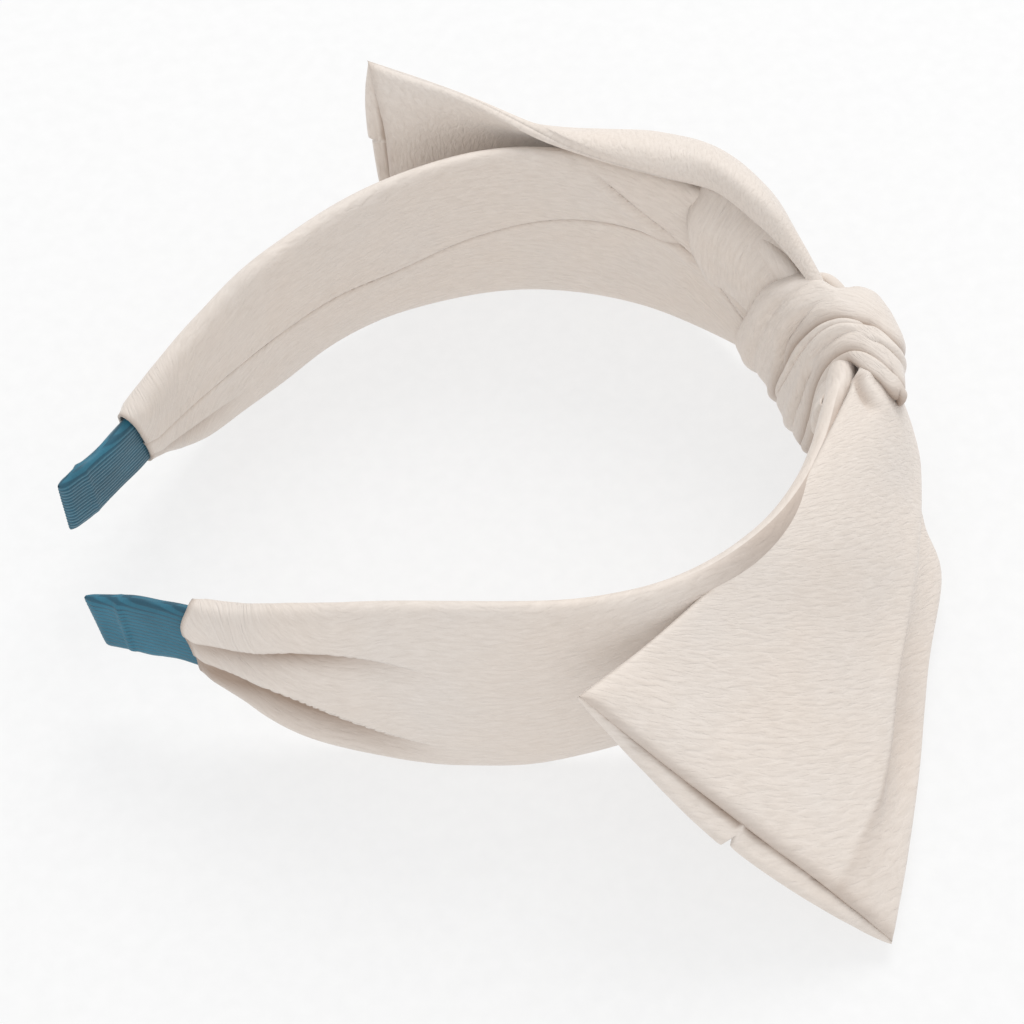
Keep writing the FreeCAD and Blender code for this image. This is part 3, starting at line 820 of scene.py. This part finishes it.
# ---- the tails -------------------------------------------------------------------------------
# Middle surface of each tail: stations from the knot to the sewn end, each from the upper edge to the lower.
LEFT_TAIL = (
    ((2.6, -11.6, 38.4), (5.5, -10.5, 36), (7.5, -9.5, 31.5), (8.5, -8.5, 26), (9, -7.5, 21)),
    ((-0.9, -17.4, 40.4), (3.6, -17.6, 37.8), (7.2, -16.6, 31), (8.9, -14.8, 22.5), (9.6, -12.5, 14.5)),
    ((-8.8, -26.3, 41.2), (-0.6, -27, 38), (5, -26.2, 30.5), (8.6, -24.4, 19.5), (10.4, -21.5, 9.5)),
    ((-17.8, -35.8, 41.6), (-8.7, -37.2, 37.4), (0.4, -36.6, 28), (6.2, -34.6, 16.5), (10.2, -31, 6.6)),
    ((-28.4, -45.6, 40.8), (-17.4, -48.2, 34.8), (-6, -48.6, 25), (3, -46.2, 13.6), (9.8, -40.8, 4.4)),
    ((-42.2, -52.8, 40.2), (-30.5, -57, 32.4), (-17.7, -60.6, 22.4), (-6.4, -61, 12.4), (0.2, -57.6, 4.2)),
    ((-56.2, -59.9, 39.8), (-44.7, -67, 31.2), (-31.7, -73.4, 21.3), (-18.8, -76.8, 11.3), (-9.8, -76, 3.6)),
    ((-70.2, -66.2, 40.5), (-59.4, -76.6, 30.5), (-48.8, -86.5, 21.2), (-38.2, -96, 11.9),
     (-28.2, -105.4, 2.8)),
)
RIGHT_TAIL = (
    ((0.5, -1, 37.5), (2, -1, 37.5), (3.6, 0, 34), (5, 2, 28), (5.5, 4, 21)),
    ((-2.6, 8.6, 41.4), (-1.4, 10.2, 43.8), (0.4, 13.5, 40.3), (2.4, 16.5, 31.5), (3.2, 18.5, 19)),
    ((-5.4, 16.4, 43.8), (-5.4, 18.8, 47.8), (-3, 23.5, 44.3), (-0.6, 28, 31.5), (0.2, 31.5, 15)),
    ((-10.6, 26.4, 44.6), (-10.6, 30.2, 48.2), (-7.2, 36.2, 43.8), (-5, 41.6, 29), (-4, 45.5, 10)),
    ((-20.6, 33.6, 45.6), (-19, 37.8, 47.2), (-15, 44.8, 41.4), (-9.8, 51.6, 26.5), (-6, 55.5, 7)),
    ((-33.2, 43.6, 47), (-32.2, 46.2, 46), (-29.4, 52.6, 38.4), (-25.8, 58.5, 23.5), (-22.5, 64, 4.4)),
    ((-47.2, 60.2, 48.8), (-47.2, 58.8, 44.6), (-46.8, 60.4, 36.6), (-46, 63.2, 21), (-45, 68.6, 3.8)),
    ((-62.6, 75.2, 49.4), (-62.6, 70.4, 43.6), (-62.2, 67.6, 34.5), (-61.4, 67.8, 19), (-60, 71.6, 3.6)),
)


class Tail:
    """Middle surface of a tail, u from the knot to the end and v across."""

    def __init__(self, stations, bend, shade=None, grain=0.0):
        self.stations = np.array(stations, float)
        self.grain = math.radians(grain)
        self.bend = bend
        self.shade = shade

    def raw(self, u, v):
        """Middle surface before its bends; u is an array with one column for each v."""
        across = smooth_rows(self.stations.transpose(1, 0, 2), v)
        columns = [smooth_rows(across[j], u[:, j]) for j in range(len(v))]
        return np.stack(columns, axis=1)

    def normals(self, u, v):
        step = 0.004
        inside = np.minimum(u, 1.0)
        along = self.raw(inside, v) - self.raw(inside - step, v)
        across = self.raw(inside, v + step) - self.raw(inside, v - step)
        return unit(np.cross(along, across))

    def lengths(self, v):
        """Length of the tail at each place across it."""
        walk = np.linspace(0, 1, 40)[:, None] + 0 * v[None, :]
        return running_length(self.raw(walk, v), 0)[-1]

    def points(self, u, v, height):
        """Points at a height off the bent surface."""
        normal = self.normals(u, v)
        return self.raw(u, v) + normal * (self.bend(u, v[None, :]) + height)[..., None]


def ridge_line(u):
    """Where the ridge of the left tail runs, across it."""
    line = ((0.3, 0.66), (0.42, 0.61), (0.52, 0.58), (0.6, 0.59), (0.68, 0.63), (0.76, 0.67), (0.9, 0.78))
    return through(line, u)


def pleat_line(u):
    """Where the short pleat from the knot's notch runs, across the left tail."""
    return through(((0.16, 0.0), (0.21, 0.05), (0.245, 0.11), (0.28, 0.17)), u)


def left_shade(u, v):
    """Shadow beside the ridge and in the pleat."""
    away = v - ridge_line(u)
    facet = np.exp(-away.clip(0, 1) / 0.10) * ease(-0.01, 0.02, away) * hill(u, 0.76, 0.2)
    pleat = hill(v, pleat_line(u), 0.03) * ease(0.15, 0.18, u) * (1 - ease(0.23, 0.30, u))
    return 0.7 * facet + 0.5 * pleat


def left_bend(u, v):
    """Ridge down the outer part of the left tail, and the hollow facet beside it."""
    ridge = ridge_line(u)
    away = v - ridge
    strength = ease(0.26, 0.5, u) * (1 - ease(0.80, 0.97, u))
    outwards = away / (1 - ridge)
    drop = -(3.4 + 1.8 * hill(u, 0.74, 0.16)) * ease(0.0, 0.085, away) * (1 - 0.8 * ease(0.55, 1.0, outwards))
    crest = 0.8 * hill(away, -0.01, 0.05)
    middle = pleat_line(u)
    pleat = 0.9 * hill(v, middle + 0.07, 0.05) - 1.0 * hill(v, middle, 0.03)
    pleat = pleat * ease(0.15, 0.18, u) * (1 - ease(0.25, 0.31, u))
    return strength * (drop + crest) + pleat


def right_bend(u, v):
    """Slight hollow in the far tail, between its rolled lip and its lower edge."""
    return -1.2 * np.sin(math.pi * v) * ease(0.4, 0.7, u)


TAIL_ROLL = 1.0                 # radius of the turned edge of a tail's top layer
TAIL_LIP = 0.95                 # and of its under layer
TAIL_COLUMNS = 121


def tail_thickness(u):
    """Half the thickness of the tail, puffier near the knot."""
    return 1.3 + 0.2 * (1 - ease(0.1, 0.5, u)) + 0.7 * hill(u, 0.965, 0.05)


def tail_rows(lengths, reach):
    """Lines across the cover: down its top layer, round both turned edges, and back up its under layer.

    Each is (layer, distance past the sewn end, height off the layer's own face); layer is 1 or -1.
    """
    rows = []
    down = [share * (lengths - TAIL_ROLL) - TAIL_ROLL for share in np.linspace(-1.0, 0.0, 150)]
    for away in down:
        rows.append((1, away, 0.0))
    for turn in np.radians(np.linspace(90, -75, 12)[1:]):
        away = -TAIL_ROLL + TAIL_ROLL * np.cos(turn) + 0 * lengths
        rows.append((1, away, TAIL_ROLL * (math.sin(turn) - 1)))
    rows.append((1, -2.4 + 0 * lengths, -2.0 * TAIL_ROLL + 0.15))
    rows.append((-1, -1.0 + 0.5 * (reach - TAIL_LIP), 2.0 * TAIL_LIP + 0.05))
    rows.append((-1, 0.5 * (reach - TAIL_LIP), 1.98 * TAIL_LIP))
    for turn in np.radians(np.linspace(80, -90, 12)):
        away = reach - TAIL_LIP + TAIL_LIP * np.cos(turn)
        rows.append((-1, away, TAIL_LIP * (1 + math.sin(turn))))
    for share in np.linspace(-1.0, 0.0, 150)[::-1][1:]:
        away = share * (lengths - TAIL_ROLL) - TAIL_ROLL + (reach - TAIL_LIP + TAIL_ROLL) * (1 + share) ** 4
        rows.append((-1, away, 0.0))
    return rows


def make_tail_cover(name, tail, seed):
    """Fabric tube gathered into the knot, its sewn end turned in, the under layer reaching further."""
    v = 0.5 - 0.5 * np.cos(np.linspace(0, math.pi, TAIL_COLUMNS))
    v = 0.35 * v + 0.65 * np.linspace(0, 1, TAIL_COLUMNS)
    lengths = tail.lengths(v)
    edge = np.sqrt(np.maximum(1 - np.abs(2 * v - 1) ** 16, 0.0))
    bulge = np.sin(math.pi * v).clip(0, 1) ** 1.1
    notch = 1.0 * hill(v, 0.5, 0.006) + 0.6 * ease(0.49, 0.505, v)
    reach = (3.0 - notch) * bulge + 0.2

    rows = tail_rows(lengths, reach)
    top_side = np.array([float(layer) for layer, _, _ in rows])[:, None]
    away = np.array([row_away for _, row_away, _ in rows])
    rise = np.array([row_rise for _, _, row_rise in rows])[:, None]
    v = v[None, :]
    u = 1 + away / lengths[None, :]
    level = top_side * tail_thickness(u.clip(0, 1)) + rise

    where = np.stack([away + 90.0 * top_side, 70.0 * v + 0 * away], axis=-1)
    waves = 0.42 * ripple(where, 30.0, 22.0, seed) + 0.12 * ripple(where, 9.0, 12.0, seed + 3)
    gathers = 0.2 * np.sin(2 * math.pi * (4.5 * v + 0.4 * np.sin(5 * v))) * (1 - ease(0.12, 0.34, u))
    hem = 0.28 * ripple(where, 2.5, 5.0, seed + 7) * hill(away, -1.0, 3.0)
    level = level + top_side * (waves + hem) + gathers - 0.3 * (top_side > 0) * ease(-8.0, 0.0, away)
    back_seam = -0.45 * hill(v, 0.5, 0.006) - 0.2 * hill(v, 0.508, 0.012)
    level = level + np.where(top_side < 0, -back_seam, 0.0)
    level = level * edge[None, :] * (0.3 + 0.7 * ease(0.05, 0.32, u))
    points = tail.points(u, v[0], level)
    points[..., 2] = np.maximum(points[..., 2], 0.4)

    between = np.where(top_side > 0, -rise > TAIL_ROLL, rise > 2 * TAIL_LIP)
    shade = 0.85 * (0.9 * between) * bulge[None, :] ** 0.5
    shade = shade + 0.3 * hill(away, 0.0, 1.0) * (top_side > 0)
    if tail.shade is not None:
        shade = shade + (top_side > 0) * tail.shade(u, v)
    c = math.cos(tail.grain)
    s = math.sin(tail.grain)
    uv = np.stack([c * 70.0 * v - s * away, s * 70.0 * v + c * away], axis=-1)
    thickness = (0.42 * edge).clip(0.04, None)
    piece = cloth(name + "_tail_cloth", points, uv, CREPE, thickness=thickness, shade=shade.clip(0, 0.8))
    return piece


def make_tail_interlining(name, tail):
    """Stiff sheet between the two layers of a tail."""
    v = np.linspace(0.06, 0.94, 40)
    u = np.linspace(0.3, 0.965, 60)[:, None] + 0 * v[None, :]
    points = tail.points(u, v, 0.1 + 0 * u)
    uv = np.stack([70 * v[None, :] + 0 * u, 80 * u], axis=-1)
    piece = cloth(name + "_tail_interlining_sheet", points, uv, INTERLINING, thickness=0.3)
    return piece


def moved(line, step):
    """The same line round the knot, a step further along the band."""
    return tuple((angle, place + step) for angle, place in line)


# ---- assembling ------------------------------------------------------------------------------
def assemble():
    """Make every piece and hide the CAD nodes it stands for; the ribbons go with their arms and the knot's
    pieces with the crown.
    """
    for side, name in SIDE_NAME.items():
        sleeve = make_sleeve(side)
        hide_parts(name + "_sleeve", name + "_sleeve_seam", "crown_sleeve")
        half = name + "_half_of_"
        strip = make_strip(side, half + "strip", PLASTIC, 1.5, -0.5, STRIP_HALF, 178.2)
        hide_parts("hoop_strip")
        pad = make_strip(side, half + "pad", FOAM, 1.3, 0.95, PAD_HALF, 130.0)
        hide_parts("foam_pad")
        ribbon = make_ribbon(side)
        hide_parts(name + "_tip_ribbon")
        panel = make_panel(side)
        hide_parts(name + "_inner_panel")

    outer = make_wrap("knot_outer_cloth", moved(FOLD_ONE, -2.0), FAR_EDGE, (5.0, 2.2), (3.4, 3.0),
                      41.0, 0.2, 2.0, outer_wrap_folds)
    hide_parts("knot_outer_wrap")
    inner = make_wrap("knot_inner_cloth", moved(FOLD_TWO, -2.0), FOLD_ONE, (4.2, 2.0), (1.3, 2.4),
                      47.0, 0.12, 2.0, inner_wrap_folds)
    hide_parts("knot_inner_wrap")
    lip = make_wrap("knot_lip_cloth", LIP_EDGE, FOLD_TWO, (1.2, 1.9), (0.9, 2.1),
                    53.0, 0.05, 0.0)
    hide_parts("knot_lip_loop")
    stitches = make_stitches()
    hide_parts("knot_tack_stitches")
    filling = frame["nodes"]["knot_filling"]
    # The filling takes the darker copy of the crepe, painted shade inside the knot.
    filling.data.materials.clear()
    filling.data.materials.append(CREPE_SHADED_COPY)

    tails = (
        ("left", Tail(LEFT_TAIL, left_bend, left_shade, 22.0), (8.0, -17.0), (-4.0, -44.0), 61.0),
        ("right", Tail(RIGHT_TAIL, right_bend), (2.5, 26.0), (-14.0, 52.0), 67.0),
    )
    for name, tail, root, away, seed in tails:
        cover = make_tail_cover(name, tail, seed)
        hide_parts(name + "_tail_cover", name + "_tail_end_seam", name + "_tail_back_seam")
        interlining = make_tail_interlining(name, tail)
        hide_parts(name + "_tail_interlining")
        for piece in (cover, interlining):
            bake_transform(piece)


# ---- studio ----------------------------------------------------------------------------------
def make_floor():
    m = Material("paper_floor", 0.9)
    grain = m.space_noise(300.0)
    m.link(m.ramp(grain, (0.20, 0.20, 0.20), (0.22, 0.22, 0.22)), m.shader.inputs["Base Color"])
    m.bumps((grain, 0.05, 0.0001))
    m.set("Emission Color", (1, 1, 1, 1))
    m.set("Emission Strength", 0.70)
    half = 3.0
    corners = [(-half, -half, 0), (half, -half, 0), (half, half, 0), (-half, half, 0)]
    mesh = bpy.data.meshes.new("floor")
    mesh.from_pydata(corners, [], [(0, 1, 2, 3)])
    mesh.materials.append(m.material)
    add_object("floor", mesh)


def aim(thing, place, target):
    thing.location = place
    thing.rotation_euler = (target - place).to_track_quat("-Z", "Y").to_euler()


def make_light(name, place, target, size, power, colour):
    light = bpy.data.lights.new(name, "AREA")
    light.shape = "DISK"
    light.size = size
    light.energy = power
    light.color = colour
    aim(add_object(name, light), place, target)


def make_studio():
    scene = bpy.context.scene
    world = bpy.data.worlds.new("studio")
    scene.world = world
    world.use_nodes = True
    background = world.node_tree.nodes["Background"]
    background.inputs["Color"].default_value = (0.985, 0.992, 1.0, 1)
    background.inputs["Strength"].default_value = 0.78
    target = spot(-45.0, 0.0, 15.0)
    make_light("key", target + Vector((0.55, 0.8, 1.1)), target, 1.0, 11.0, (1.0, 0.99, 0.975))
    make_light("fill", target + Vector((-0.5, -1.4, 0.9)), target, 1.6, 5.0, (0.985, 0.99, 1.0))
    scene.view_settings.view_transform = "Standard"
    make_floor()


def make_camera():
    """The photograph's angle: well above the table, looking along the left arm's outer side."""
    elevation = math.radians(53.0)
    azimuth = math.radians(-18.5)
    distance = 0.478
    target = spot(-58.9, 0.9, 0.0)
    back = Vector((
        math.sin(azimuth) * math.cos(elevation),
        -math.cos(azimuth) * math.cos(elevation),
        math.sin(elevation),
    ))
    data = bpy.data.cameras.new("camera")
    data.sensor_width = 36.0
    data.lens = 89.5
    data.clip_start = 0.01
    camera = add_object("camera", data)
    aim(camera, target + back * distance, target)
    bpy.context.scene.camera = camera


make_studio()
make_camera()
assemble()
